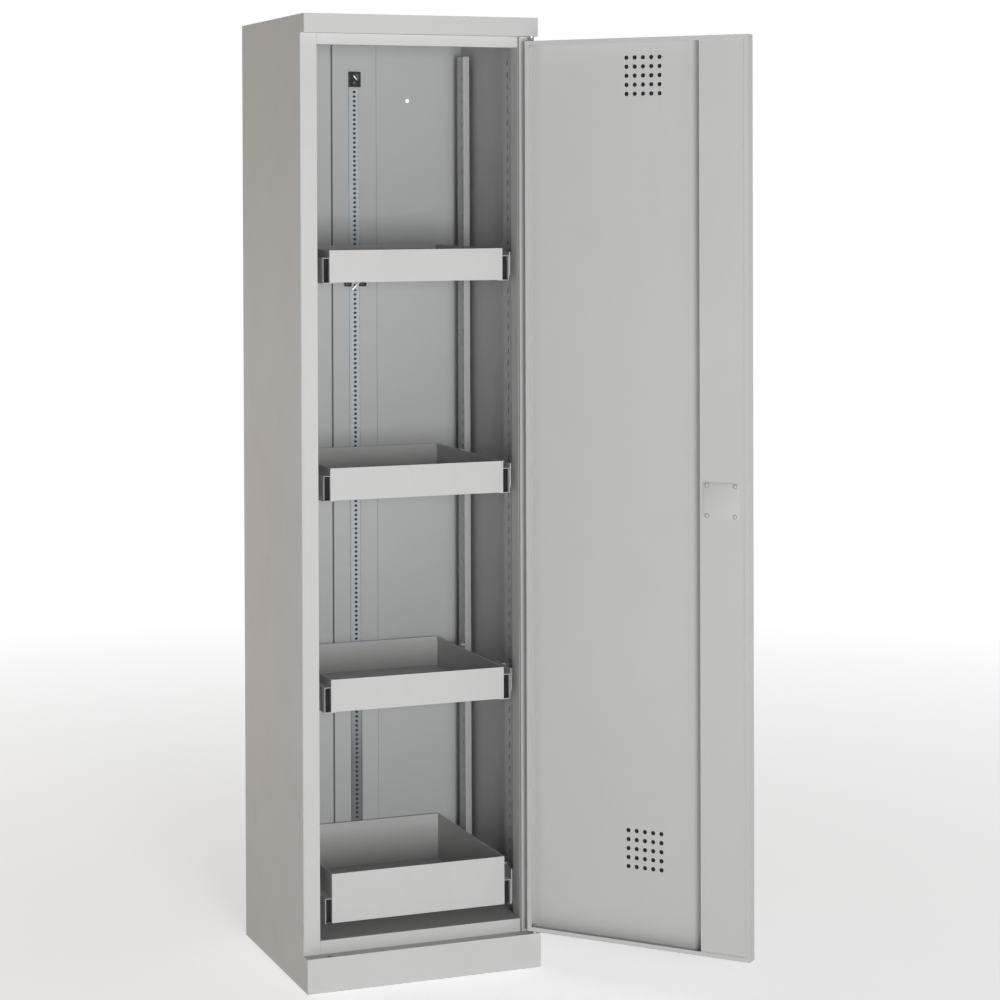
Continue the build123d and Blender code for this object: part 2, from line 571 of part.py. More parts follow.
write(handle, "handle_grip")

with BuildPart() as cylinder:
    with BuildSketch(door_face.offset(grip_end - CYLINDER_DEPTH)):
        with Locations((LOCK_X, LOCK_Z)):
            Circle(CYLINDER_RADIUS)
    extrude(amount=CYLINDER_DEPTH + CYLINDER_PROUD)
    with BuildSketch(door_face.offset(grip_end + CYLINDER_PROUD)):
        with Locations((LOCK_X, LOCK_Z)):
            Rectangle(KEY_SLOT_HEIGHT, KEY_SLOT_WIDTH)
    extrude(amount=-KEY_SLOT_DEPTH, mode=Mode.SUBTRACT)
write(cylinder, "key_cylinder")


def tooth_half(height):
    """Half a tooth's thickness at a height above the pitch line."""
    at_pitch = (RACK_PITCH / 2 - BACKLASH) / 2
    return at_pitch - height * math.tan(math.radians(PRESSURE_ANGLE))


root = PITCH_RADIUS - DEDENDUM
tip = PITCH_RADIUS + ADDENDUM
with BuildPart() as pinion:
    with BuildSketch(door_face.offset(SKIN_OUT - ROD_Y - PINION_THICK / 2)):
        with Locations((LOCK_X, LOCK_Z)):
            Circle(root)
            with PolarLocations(0, PINION_TEETH):
                Polygon(
                    (root - TOOTH_SINK, -tooth_half(-DEDENDUM)),
                    (tip, -tooth_half(ADDENDUM)),
                    (tip, tooth_half(ADDENDUM)),
                    (root - TOOTH_SINK, tooth_half(-DEDENDUM)),
                    align=None,
                )
    extrude(amount=PINION_THICK)
    with BuildSketch(door_face.offset(SKIN_OUT - ROD_Y)):
        with Locations((LOCK_X, LOCK_Z)):
            Circle(SPINDLE_RADIUS)
    extrude(amount=ROD_Y - SKIN_OUT + spindle_end)
write(pinion, "lock_pinion")

# ---- locking rods: each ends in a rack, one on either side of the pinion --------------------------
# Turning the handle a quarter turn drives the lower rod down and the upper rod up.
rod_clear = tip + ROD_PINION_GAP
rack_teeth = range(-RACK_SPARE, math.ceil(ROD_TRAVEL / RACK_PITCH) + RACK_SPARE)
for rod_name, way in (("lower", -1), ("upper", 1)):
    rod_x = LOCK_X + way * ROD_OFFSET
    rod_end = DOOR_BOTTOM + ROD_SET_BACK if way < 0 else DOOR_TOP - ROD_SET_BACK
    round_end = LOCK_Z + way * rod_clear
    rack_end = LOCK_Z - way * (ROD_TRAVEL + RACK_SPARE * RACK_PITCH)
    root_x = LOCK_X + way * (PITCH_RADIUS + DEDENDUM)
    tip_x = LOCK_X + way * (PITCH_RADIUS - ADDENDUM)
    back_x = root_x + way * RACK_BACK
    with BuildPart() as rod:
        post(rod_x, ROD_Y, ROD_RADIUS, min(rod_end, round_end), max(rod_end, round_end), plan=door_plan)
        slab(
            min(root_x, back_x), max(root_x, back_x), ROD_Y - RACK_THICK / 2, ROD_Y + RACK_THICK / 2,
            min(rack_end, round_end), max(rack_end, round_end), plan=door_plan,
        )
        with BuildSketch(door_face.offset(SKIN_OUT - ROD_Y - RACK_THICK / 2)):
            for k in rack_teeth:
                tooth_z = LOCK_Z - way * (k + 0.5) * RACK_PITCH
                Polygon(
                    (root_x + way * TOOTH_SINK, tooth_z - tooth_half(-DEDENDUM)),
                    (tip_x, tooth_z - tooth_half(ADDENDUM)),
                    (tip_x, tooth_z + tooth_half(ADDENDUM)),
                    (root_x + way * TOOTH_SINK, tooth_z + tooth_half(-DEDENDUM)),
                    align=None,
                )
        extrude(amount=RACK_THICK)
    write(rod, f"lock_rod_{rod_name}")

# ---- trays and drawer, with their slides and the brackets that hook into the uprights --------------
# underside above the floor panel, height, drop of the side profile, bracket height and rise
tray_sizes = (TRAY_HEIGHT, TRAY_DROP, TRAY_BRACKET, TRAY_BRACKET_RISE)
runs = {
    "tray_1": (TRAY_1_FROM_FLOOR, *tray_sizes),
    "tray_2": (TRAY_2_FROM_FLOOR, *tray_sizes),
    "tray_3": (TRAY_3_FROM_FLOOR, *tray_sizes),
    "drawer_4": (DRAWER_FROM_FLOOR, DRAWER_HEIGHT, DRAWER_DROP, DRAWER_BRACKET, DRAWER_BRACKET_RISE),
}

outer_half = SLIDE_HEIGHT / 2
mid_half = outer_half - SLIDE_SHEET - SLIDE_STEP
inner_half = mid_half - SLIDE_SHEET - SLIDE_STEP
outer_web = (SLIDE_OUT - SLIDE_SHEET, SLIDE_OUT)
mid_web = (outer_web[0] - SLIDE_GAP - SLIDE_SHEET, outer_web[0] - SLIDE_GAP)
inner_web = (PROFILE_OUT, PROFILE_OUT + SLIDE_SHEET)
flange_tip = PROFILE_OUT + SLIDE_TIP
inner_tip = mid_web[0] - SLIDE_GAP


def member(sign, web, tip_x, half, centre_z):
    """One slide member: a web with a flange above and below; it joins the part being built."""
    side_slab(sign, *web, SLIDE_Y0, SLIDE_Y1, centre_z - half, centre_z + half)
    inside = tip_x < web[0]
    flange = (tip_x, web[0]) if inside else (web[1], tip_x)
    for z0 in (centre_z - half, centre_z + half - SLIDE_SHEET):
        side_slab(sign, *flange, SLIDE_Y0, SLIDE_Y1, z0, z0 + SLIDE_SHEET)


def bracket(sign, place, centre_z, height):
    """A plate beside the slide, a leg to the upright, a foot against it and its hooks."""
    upright_y = UPRIGHT_FRONT_Y if place == "front" else UPRIGHT_REAR_Y
    foot_y0 = upright_y + FOOT_INSET
    foot_y1 = foot_y0 + BRACKET_FOOT
    z0 = centre_z - height / 2
    z1 = centre_z + height / 2
    if place == "front":
        plate_y = (FRAME_Y + BRACKET_NOSE, SLIDE_Y0 + BRACKET_LAP)
        leg_y = (foot_y1, foot_y1 + BRACKET_SHEET)
    else:
        plate_y = (foot_y0 - BRACKET_LAP, foot_y0)
        leg_y = (foot_y0 - BRACKET_SHEET, foot_y0)
    with BuildSketch(Plane.YZ.offset(min(sign * SLIDE_OUT, sign * BRACKET_OUT))) as outline:
        with Locations(((plate_y[0] + plate_y[1]) / 2, centre_z)):
            plate = Rectangle(plate_y[1] - plate_y[0], height)
        fillet(plate.vertices().group_by(Axis.Y)[0], BRACKET_CORNER)
    extrude(outline.sketch, amount=BRACKET_SHEET)
    side_slab(sign, BRACKET_OUT, UPRIGHT_IN, *leg_y, z0, z1)
    side_slab(sign, UPRIGHT_IN - BRACKET_SHEET, UPRIGHT_IN, foot_y0, foot_y1, z0, z1)
    hook_y = upright_y + SLOT_INSET
    hook_half = SLOT_WIDTH / 2 - HOOK_FIT
    behind_web = UPRIGHT_IN + UPRIGHT_SHEET + HOOK_FIT / 2
    for k in range(slot_count):
        slot_z = SLOT_Z0 + k * SLOT_PITCH
        if z0 + SLOT_HEIGHT / 2 < slot_z < z1 - SLOT_HEIGHT / 2:
            hook_z0 = slot_z - SLOT_HEIGHT / 2
            hook_z1 = slot_z + SLOT_HEIGHT / 2 - 2 * HOOK_FIT
            side_slab(
                sign, UPRIGHT_IN, UPRIGHT_IN + HOOK_DEPTH,
                hook_y - hook_half, hook_y + hook_half, hook_z0, hook_z1,
            )
            side_slab(
                sign, behind_web, UPRIGHT_IN + HOOK_DEPTH,
                hook_y - hook_half, hook_y + hook_half, hook_z0 - HOOK_DROP, hook_z0,
            )


for name, (from_floor, height, drop, bracket_height, bracket_rise) in runs.items():
    z0 = FLOOR_TOP + from_floor
    top = z0 + height
    hem_z = top - HEM_HEIGHT
    profile_top = top - drop
    profile_low = z0 - TRAY_SHEET
    wall = TRAY_SHEET
    hem = 2 * TRAY_SHEET
    with BuildPart() as tray:
        slab(-TRAY_HALF, TRAY_HALF, TRAY_FRONT, TRAY_BACK, z0, top)
        slab(
            -TRAY_HALF + wall, TRAY_HALF - wall, TRAY_FRONT + wall, TRAY_BACK - wall,
            z0 + wall, hem_z, mode=Mode.SUBTRACT,
        )
        slab(
            -TRAY_HALF + hem, TRAY_HALF - hem, TRAY_FRONT + hem, TRAY_BACK - hem,
            hem_z, top, mode=Mode.SUBTRACT,
        )
        for side, sign in SIDES:
            side_slab(sign, TRAY_HALF, PROFILE_OUT, TRAY_FRONT, TRAY_BACK, profile_top - wall, profile_top)
            side_slab(
                sign, PROFILE_OUT - wall, PROFILE_OUT, TRAY_FRONT, TRAY_BACK,
                profile_low, profile_top - wall,
            )
            if name != "drawer_4":
                side_slab(
                    sign, TRAY_HALF - PROFILE_LAP, PROFILE_OUT - wall, TRAY_FRONT, TRAY_BACK,
                    profile_low, z0,
                )
    write(tray, name)

    centre_z = z0 + SLIDE_CENTRE
    for side, sign in SIDES:
        with BuildPart() as outer_member:
            member(sign, outer_web, flange_tip, outer_half, centre_z)
        write(outer_member, f"slide_outer_{name}_{side}")
        with BuildPart() as inner_member:
            member(sign, inner_web, inner_tip, inner_half, centre_z)
        write(inner_member, f"slide_inner_{name}_{side}")
    with BuildPart() as mid_members:
        for side, sign in SIDES:
            member(sign, mid_web, flange_tip, mid_half, centre_z)
    write(mid_members, f"slide_mid_{name}")
    with BuildPart() as brackets:
        for side, sign in SIDES:
            for place in ("front", "rear"):
                bracket(sign, place, centre_z + bracket_rise, bracket_height)
    write(brackets, f"slide_brackets_{name}")
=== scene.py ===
import json
import math

import bpy
from mathutils import Matrix, Vector


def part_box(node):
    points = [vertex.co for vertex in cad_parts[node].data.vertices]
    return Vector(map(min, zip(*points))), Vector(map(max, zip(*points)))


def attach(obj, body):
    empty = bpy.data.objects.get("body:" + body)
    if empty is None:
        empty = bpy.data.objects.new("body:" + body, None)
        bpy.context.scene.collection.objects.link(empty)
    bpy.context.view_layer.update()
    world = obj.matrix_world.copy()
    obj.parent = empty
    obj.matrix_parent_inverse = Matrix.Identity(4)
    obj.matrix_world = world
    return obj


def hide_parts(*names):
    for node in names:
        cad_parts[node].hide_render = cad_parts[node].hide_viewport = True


# Reagent drawer cabinet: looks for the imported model. Metres, in the model's own frame:
# X to the right, Y to the back, Z up, the front looks along -Y.
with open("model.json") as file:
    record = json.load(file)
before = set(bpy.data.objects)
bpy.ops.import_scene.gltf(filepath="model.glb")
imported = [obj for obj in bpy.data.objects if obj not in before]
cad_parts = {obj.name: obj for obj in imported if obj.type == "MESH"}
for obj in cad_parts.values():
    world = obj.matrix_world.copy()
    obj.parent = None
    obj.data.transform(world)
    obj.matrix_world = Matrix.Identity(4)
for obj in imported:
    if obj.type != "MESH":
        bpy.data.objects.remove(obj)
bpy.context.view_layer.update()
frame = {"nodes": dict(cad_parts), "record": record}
nodes = frame["nodes"]
bpy.ops.object.select_all(action="DESELECT")

# ---- places that several sections use ------------------------------------------------------
MM = 0.001                     # pieces are given in mm, finishes and the stage in metres
PIVOT = (0.2385, -0.2185, 0.0)  # the door's hinge line, in metres
DOOR_OPEN = 131.0              # degrees
FREE_X = -483.5                # mm, in the closed door's own plan with its pivot at the origin
LOCK_X = FREE_X + 59.0
LOCK_Z = 984.0
RIVET_SPAN = 60.0              # between the rivets of the lock's cover plate
BACK_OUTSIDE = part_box("back_panel")[1][1] - 0.0001
RUN_CENTRES = {"tray_1": 1437.5, "tray_2": 1000.0, "tray_3": 575.0, "drawer_4": 150.0}


# ---- finishes ------------------------------------------------------------------------------
class Field:
    """An output socket of a finish; sums and products on it add Math nodes."""

    def __init__(self, finish, socket):
        self.finish = finish
        self.socket = socket

    def maths(self, operation, *values):
        return self.finish.node("ShaderNodeMath", {"operation": operation}, *values)

    def __add__(self, other):
        return self.maths("ADD", self, other)

    __radd__ = __add__

    def __sub__(self, other):
        return self.maths("SUBTRACT", self, other)

    def __rsub__(self, other):
        return self.maths("SUBTRACT", other, self)

    def __mul__(self, other):
        return self.maths("MULTIPLY", self, other)

    __rmul__ = __mul__

    def power(self, exponent):
        return self.maths("POWER", self, exponent)

    def size(self):
        return self.maths("ABSOLUTE", self)

    def limited(self):
        return self.maths("MINIMUM", self.maths("MAXIMUM", self, 0.0), 1.0)


class Finish:
    """A material under construction: a tree of nodes that ends in one Principled shader."""

    def __init__(self, name):
        self.material = bpy.data.materials.new(name)
        self.material.use_nodes = True
        self.tree = self.material.node_tree
        self.shader = self.tree.nodes["Principled BSDF"]
        place = self.tree.nodes.new("ShaderNodeTexCoord")
        self.place = Field(self, place.outputs["Object"])

    def node(self, kind, settings=None, *values, out=0, **named):
        made = self.tree.nodes.new(kind)
        for key, value in (settings or {}).items():
            setattr(made, key, value)
        for index, value in enumerate(values):
            self.feed(made.inputs[index], value)
        for key, value in named.items():
            self.feed(made.inputs[key.replace("_", " ")], value)
        return Field(self, made.outputs[out])

    def feed(self, socket, value):
        if isinstance(value, Field):
            self.tree.links.new(value.socket, socket)
        else:
            socket.default_value = value

    def stretched(self, x=1.0, y=1.0, z=1.0):
        return self.node("ShaderNodeMapping", None, self.place, Scale=(x, y, z))

    def part_of(self, vector, axis):
        return self.node("ShaderNodeSeparateXYZ", None, vector, out=axis)

    def noise(self, scale, detail=3.0, roughness=0.5, where=None):
        return self.node(
            "ShaderNodeTexNoise", None,
            Vector=where or self.place, Scale=scale, Detail=detail, Roughness=roughness,
        )

    def cells(self, scale):
        """A random colour for each crystal."""
        return self.node(
            "ShaderNodeTexVoronoi", {"feature": "F1"}, Vector=self.place, Scale=scale, out="Color",
        )

    def spread(self, field, low, high, to_low=0.0, to_high=1.0):
        """The field's stretch from low to high, spread over to_low to to_high and held there."""
        return self.node(
            "ShaderNodeMapRange", {"clamp": True}, field, low, high, to_low, to_high,
        )

    def mixed(self, factor, first, second):
        mix = self.tree.nodes.new("ShaderNodeMix")
        mix.data_type = "RGBA"
        self.feed(mix.inputs["Factor"], factor)
        colours = [socket for socket in mix.inputs if socket.type == "RGBA"]
        self.feed(colours[0], first)
        self.feed(colours[1], second)
        return Field(self, next(s for s in mix.outputs if s.type == "RGBA"))

    def bumped(self, height, strength, distance):
        return self.node(
            "ShaderNodeBump", None, Height=height, Strength=strength, Distance=distance
        )

    def set(self, **sockets):
        for key, value in sockets.items():
            self.feed(self.shader.inputs[key.replace("_", " ")], value)
        return self.material


def grey(value, warmth=0.0):
    """A near-neutral colour; warmth above 0 leans to yellow, below 0 to blue."""
    return (value * (1 + warmth), value, value * (1 - warmth), 1.0)


def toned(colour, share):
    """The colour with its brightness brought down to a share."""
    return tuple(share * v for v in colour[:3]) + (1.0,)


DUST = grey(0.40, 0.06)
SCUFF = grey(0.5)
RUB = grey(0.42, 0.03)
# painted shadow: the tone of the dark lines along raised edges and in gaps
LINE_SHADOW_TONE = grey(0.045)
# painted shadow round the rivet heads
RIVET_SHADOW_TONE = grey(0.10)
LOW_DARK_TONE = grey(0.09)
DUST_TOP = 0.16                # dust gathers below this height
PAINTED_SHADE_FADE = 0.0006             # the depth over which the back's painted shade and painted shadow lines end before its outside
RIVET_SHADOW_RING = (0.0038, 0.0056)  # from a rivet's middle, the painted shadow round its head: dark up to the first, plain past the second


def powder_coat(name, base, dusty=0.1, scuffs=0.05, shadow_lines=(), rubbed=0.0, rivet_shadow=0.0):
    """Light grey powder coat: fine orange peel, slow shifts of tone, dust and thin scuffs.

    the upright dark lines are painted shadow, as along a raised cover's edges or in a narrow gap,
    each given by its X, its half width and its depth of tone, and they stop short of the back's
    outside, which has the plain paint, while the back's inside keeps the darker base as painted
    shade;
    rubbed adds the long dull rubs that use leaves on a shelf;
    a ring of painted shadow darkens the paint round the four rivets of the lock's cover plate,
    standing for the shade beside their domes.
    """
    paint = Finish(name)
    peel = paint.noise(900.0, detail=2.0)
    ripple = paint.noise(140.0, detail=2.0)
    tone = paint.spread(paint.noise(2.2, detail=4.0), 0.3, 0.7)
    grime = paint.spread(paint.noise(11.0, detail=6.0, roughness=0.65), 0.5, 0.8)
    thin = paint.stretched(1.0, 30.0, 14.0)
    scratch_run = paint.noise(6.0, detail=8.0, roughness=0.8, where=thin)
    scratch = paint.spread(scratch_run, 0.66, 0.7) * scuffs
    height = paint.part_of(paint.place, "Z")
    low_down = paint.spread(height, 0.0, DUST_TOP, 1.0, 0.0).power(1.6)
    colour = paint.mixed(tone, base, toned(base, 0.965))
    colour = paint.mixed(grime * dusty + low_down * 0.05, colour, DUST)
    colour = paint.mixed(scratch, colour, SCUFF)
    sheen = 0.40 + tone * 0.05 + grime * 0.08 + scratch * 0.12
    if rubbed:
        long = paint.stretched(3.0, 0.6, 1.0)
        rub_run = paint.noise(9.0, detail=6.0, roughness=0.7, where=long)
        rub = paint.spread(rub_run, 0.52, 0.75) * rubbed
        colour = paint.mixed(rub, colour, RUB)
        sheen = sheen + rub * 0.25
    if shadow_lines:
        across = paint.part_of(paint.place, "X")
        depthwise = paint.part_of(paint.place, "Y")
        within = paint.spread(depthwise, BACK_OUTSIDE - PAINTED_SHADE_FADE, BACK_OUTSIDE, 1.0, 0.0)
        # Painted shade: the back's inside face keeps the darker, cooler base colour, which stands
        # for the shade inside the cabinet; its outside has the plain paint.
        colour = paint.mixed(within, PAINT, colour)
        # Painted shadow: each line darkens the paint where a raised edge or a gap casts shade.
        for at, half, depth in shadow_lines:
            shadow_line = paint.spread((across - at).size(), half, half * 1.9, depth, 0.0) * within
            colour = paint.mixed(shadow_line, colour, LINE_SHADOW_TONE)
            sheen = sheen + shadow_line * 0.3
    if rivet_shadow:
        from_pivot = paint.node(
            "ShaderNodeVectorMath", {"operation": "SUBTRACT"}, paint.place, PIVOT
        )
        on_door = paint.node(
            "ShaderNodeVectorRotate", {"rotation_type": "Z_AXIS"},
            Vector=from_pivot, Angle=-math.radians(DOOR_OPEN),
        )
        aside = (paint.part_of(on_door, "X") - LOCK_X * MM).size() - RIVET_SPAN / 2 * MM
        upward = (paint.part_of(on_door, "Z") - LOCK_Z * MM).size() - RIVET_SPAN / 2 * MM
        away = (aside * aside + upward * upward).power(0.5)
        # Painted shadow: a dark ring round each rivet head.
        rivet_shadow_ring = paint.spread(away, *RIVET_SHADOW_RING, rivet_shadow, 0.0)
        colour = paint.mixed(rivet_shadow_ring, colour, RIVET_SHADOW_TONE)
    return paint.set(
        Base_Color=colour,
        Roughness=sheen,
        Normal=paint.bumped(peel * 0.6 + ripple * 0.4, 0.10, 0.0004),
    )


def galvanised(name, base, flake, metal, darkened_low=0.0):
    """Hot-dip zinc: crystals of differing brightness, faint rolling lines, darker towards the
    bottom.
    """
    zinc = Finish(name)
    cell_tone = zinc.node("ShaderNodeSeparateColor", None, zinc.cells(flake))
    rolled = zinc.noise(30.0, detail=4.0, where=zinc.stretched(1.0, 0.05, 1.0))
    tone = (cell_tone * 0.6 + rolled * 0.4).limited()
    colour = zinc.mixed(tone, toned(base, 0.80), base)
    if darkened_low:
        # darker towards the bottom
        low_part = zinc.spread(zinc.part_of(zinc.place, "Z"), 0.35, 0.62, darkened_low, 0.0)
        colour = zinc.mixed(low_part, colour, LOW_DARK_TONE)
    return zinc.set(
        Base_Color=colour,
        Metallic=metal,
        Roughness=0.44 + tone * 0.18,
        Normal=zinc.bumped(zinc.noise(400.0), 0.08, 0.0003),
    )


def moulded_plastic(name, base, grain, roughness):
    """Moulded plastic with a fine spark-eroded grain."""
    plastic = Finish(name)
    blotch = plastic.spread(plastic.noise(45.0, detail=3.0), 0.35, 0.7)
    colour = plastic.mixed(blotch, base, toned(base, 0.82))
    return plastic.set(
        Base_Color=colour,
        Roughness=roughness + blotch * 0.1,
        Normal=plastic.bumped(plastic.noise(grain, detail=3.0), 0.25, 0.0003),
    )


def drawn_steel(name, base, roughness):
    """Drawn or turned steel with a bright zinc plating and fine lines along its length."""
    steel = Finish(name)
    lines = steel.noise(60.0, detail=5.0, where=steel.stretched(1.0, 1.0, 0.03))
    tone = steel.spread(lines, 0.3, 0.7)
    colour = steel.mixed(tone, toned(base, 0.86), base)
    return steel.set(
        Base_Color=colour,
        Metallic=1.0,
        Roughness=roughness + tone * 0.12,
        Normal=steel.bumped(lines, 0.06, 0.0003),
    )


def woven_gauze(name, base, pitch):
    """Fine black filter gauze: a square weave of thin threads."""
    gauze = Finish(name)
    along, up = (
        gauze.place.maths("PINGPONG", gauze.part_of(gauze.place, way), pitch) for way in ("X", "Z")
    )
    weave = gauze.spread(along.maths("MINIMUM", along, up), 0.0, pitch * 0.5, 1.0, 0.0)
    return gauze.set(
        Base_Color=gauze.mixed(weave, grey(base), grey(base * 2.2)),
        Roughness=0.85,
        Normal=gauze.bumped(weave, 0.5, 0.0002),
    )


PAINT = (0.520, 0.521, 0.516, 1.0)
# a darker, cooler copy of the paint for the back's inside face: painted shade of the cabinet's
# interior
SHADED_BACK_PAINT = (0.455, 0.468, 0.464, 1.0)
# painted shadow along the raised back cover's two edges, deeper at the left edge than at the right
COVER_EDGE_SHADOWS = ((-0.0512, 0.0012, 0.85), (0.0508, 0.0006, 0.35))
# painted shadow of the narrow gap along the right post's inner edge
POST_GAP_SHADOW = ((0.2172, 0.0012, 0.75),)
finishes = {
    "light_grey_paint": powder_coat("light_grey_powder_coat", PAINT),
    "galvanised_steel": galvanised("galvanised_sheet", (0.66, 0.68, 0.69, 1.0), 260.0, 0.75),
    "rivet_grey": powder_coat("rivet_paint", PAINT, 0.05, 0.0),
    "black_plastic": moulded_plastic("black_clip_plastic", (0.018, 0.018, 0.019, 1.0), 900.0, 0.42),
    "guide_plastic": moulded_plastic("grey_nylon", (0.36, 0.36, 0.35, 1.0), 700.0, 0.5),
    "handle_plastic": moulded_plastic(
        "handle_black_plastic", (0.022, 0.022, 0.024, 1.0), 1200.0, 0.38
    ),
    "bright_steel": drawn_steel("zinc_plated_steel", (0.62, 0.63, 0.65, 1.0), 0.28),
    "nickel": drawn_steel("nickel_plate", (0.72, 0.70, 0.67, 1.0), 0.14),
}
shaded_back_paint = powder_coat("back_powder_coat_painted_shade", SHADED_BACK_PAINT, 0.08, 0.02, COVER_EDGE_SHADOWS)
tray_paint = powder_coat("tray_powder_coat", PAINT, 0.08, 0.06, rubbed=0.22)
bracket_zinc = galvanised("pale_zinc", (0.70, 0.71, 0.71, 1.0), 300.0, 0.25)
rail_zinc = galvanised("galvanised_strip", (0.44, 0.48, 0.51, 1.0), 320.0, 0.45, 0.7)
post_paint_gap_shadow = powder_coat("post_powder_coat_gap_shadow", PAINT, shadow_lines=POST_GAP_SHADOW)
# the cover plate's paint, with painted shadow round its rivets
plate_paint_rivet_shadow = powder_coat("plate_powder_coat_rivet_shadow", PAINT, rivet_shadow=0.75)
# near-black matt plastic for the profile plugs, partly painted shade of the hollows behind
plug_black_hollow_shade = moulded_plastic("matt_plug_plastic_hollow_shade", (0.006, 0.006, 0.007, 1.0), 900.0, 0.75)
lever_steel = drawn_steel("dull_lever_steel", (0.55, 0.55, 0.56, 1.0), 0.4)
gauze_black = woven_gauze("black_filter_gauze", 0.006, 0.00035)
own_finish = {"back_panel": shaded_back_paint, "back_cover": shaded_back_paint, "frame_post_right": post_paint_gap_shadow}
for run in RUN_CENTRES:
    own_finish[run] = tray_paint
    own_finish[f"slide_brackets_{run}"] = bracket_zinc

for entry in frame["record"]["subparts"]:
    node = nodes[entry["node"]]
    node.data.materials.clear()
    node.data.materials.append(own_finish.get(entry["node"], finishes[entry["material_slot"]]))

# ---- folded and cut edges of the sheets ------------------------------------------------------
EDGE_ANGLE = 35.0              # degrees; edges that turn more than this are rounded
WELD_REACH = 0.00001
# edge radius in mm, by the start of the node's name
EDGE_RADII = {
    "frame_post": 0.55,
    "door_skin": 0.45,
    "roof_cap": 0.45,
    "side_panel": 0.45,
    "plinth": 0.5,
    "header_rail": 0.5,
    "sill_rail": 0.5,
    "floor_panel": 0.4,
    "back_cover": 0.6,
    "upright": 0.45,
    "tray": 0.25,
    "drawer": 0.25,
    "slide": 0.25,
    "handle_rose": 0.6,
    "key_cylinder": 0.3,
}
for node_name, node in nodes.items():
    radius = next((v for start, v in EDGE_RADII.items() if node_name.startswith(start)), None)
    if radius:
        weld = node.modifiers.new("joined_edges", "WELD")
        weld.merge_threshold = WELD_REACH
        fold = node.modifiers.new("edge_radius", "BEVEL")
        fold.width = radius * MM
        fold.segments = 2
        fold.limit_method = "ANGLE"
        fold.angle_limit = math.radians(EDGE_ANGLE)

# ---- making a piece --------------------------------------------------------------------------
FACING = 0.9                   # a face looks along an axis where its normal has more of it


def alone(piece):
    bpy.ops.object.select_all(action="DESELECT")
    piece.select_set(True)
    bpy.context.view_layer.objects.active = piece


def settled(name):
    """The new primitive gets its name, and its place goes into its mesh."""
    piece = bpy.context.object
    piece.name = name
    bpy.ops.object.transform_apply(location=True, rotation=True, scale=True)
    return piece


def block(name, low, high):
    """A block between two corners, in mm."""
    bpy.ops.object.select_all(action="DESELECT")
    middle = [(a + b) / 2 * MM for a, b in zip(low, high)]
    bpy.ops.mesh.primitive_cube_add(size=1.0, location=middle)
    bpy.context.object.scale = [(b - a) * MM for a, b in zip(low, high)]
    return settled(name)


def rod(name, centre, radius, length, sides):
    """A round bar along Y about its centre, in mm."""
    bpy.ops.object.select_all(action="DESELECT")
    bpy.ops.mesh.primitive_cylinder_add(
        vertices=sides, radius=radius * MM, depth=length * MM,
        location=[v * MM for v in centre], rotation=(math.pi / 2, 0, 0),
    )
    return settled(name)


def every_face(centre, normal):
    return True


def front_face(centre, normal):
    return normal.y < -FACING


def shaping(piece, wanted):
    """Opens the piece in edit mode with the faces selected whose centre in mm and normal pass."""
    alone(piece)
    bpy.ops.object.mode_set(mode="EDIT")
    bpy.ops.mesh.select_mode(type="FACE")
    bpy.ops.mesh.select_all(action="DESELECT")
    bpy.ops.object.mode_set(mode="OBJECT")
    for face in piece.data.polygons:
        face.select = wanted(face.center / MM, face.normal)
    bpy.ops.object.mode_set(mode="EDIT")


def shaped():
    bpy.ops.object.mode_set(mode="OBJECT")


def sunk(piece, wanted, border, depth):
    """The chosen faces get a border and are pushed in by a depth, in mm; below 0 stands out."""
    shaping(piece, wanted)
    bpy.ops.mesh.inset(thickness=border * MM, depth=0.0)
    bpy.ops.mesh.inset(thickness=0.0, depth=-depth * MM)
    shaped()


def worked(piece, kind, **settings):
    """A modifier of this kind, applied."""
    alone(piece)
    modifier = piece.modifiers.new(kind.lower(), kind)
    for key, value in settings.items():
        setattr(modifier, key, value)
    bpy.ops.object.modifier_apply(modifier=modifier.name)


def rounded(piece, radius, segments=2, angle=EDGE_ANGLE):
    """Edges that turn more than the angle get a radius in mm."""
    worked(
        piece, "BEVEL", width=radius * MM, segments=segments,
        limit_method="ANGLE", angle_limit=math.radians(angle),
    )


def row_of(piece, count, step):
    """The piece repeated along a step in mm."""
    worked(
        piece, "ARRAY", count=count, use_relative_offset=False, use_constant_offset=True,
        constant_offset_displace=[v * MM for v in step],
    )


def moved(piece, shift):
    alone(piece)
    piece.location = [v * MM for v in shift]
    bpy.ops.object.transform_apply(location=True, rotation=False, scale=False)
    return piece


def twin(piece):
    """A copy with its own mesh, mirrored to the cabinet's other side."""
    double = piece.copy()
    double.data = piece.data.copy()
    bpy.context.scene.collection.objects.link(double)
    alone(double)
    double.scale = (-1.0, 1.0, 1.0)
    bpy.ops.object.transform_apply(location=False, rotation=False, scale=True)
    shaping(double, every_face)
    bpy.ops.mesh.normals_make_consistent(inside=False)
    shaped()
    return double


def joined(name, parts):
    bpy.ops.object.select_all(action="DESELECT")
    for part in parts:
        part.select_set(True)
    bpy.context.view_layer.objects.active = parts[0]
    bpy.ops.object.join()
    parts[0].name = name
    return parts[0]


def fitted(piece, body, finish, smooth=40.0):
    """The piece gets its finish and the body that carries it."""
    alone(piece)
    bpy.ops.object.shade_smooth_by_angle(angle=math.radians(smooth))
    piece.data.materials.clear()
    piece.data.materials.append(finish)
    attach(piece, body)
    return piece


door_place = Matrix.Translation(PIVOT) @ Matrix.Rotation(math.radians(DOOR_OPEN), 4, "Z")


def hung(piece):
    """Takes a piece from the closed door's own plan, pivot at its origin, to the open door."""
    alone(piece)
    piece.matrix_world = door_place
    bpy.ops.object.transform_apply(location=True, rotation=True, scale=True)
    return piece


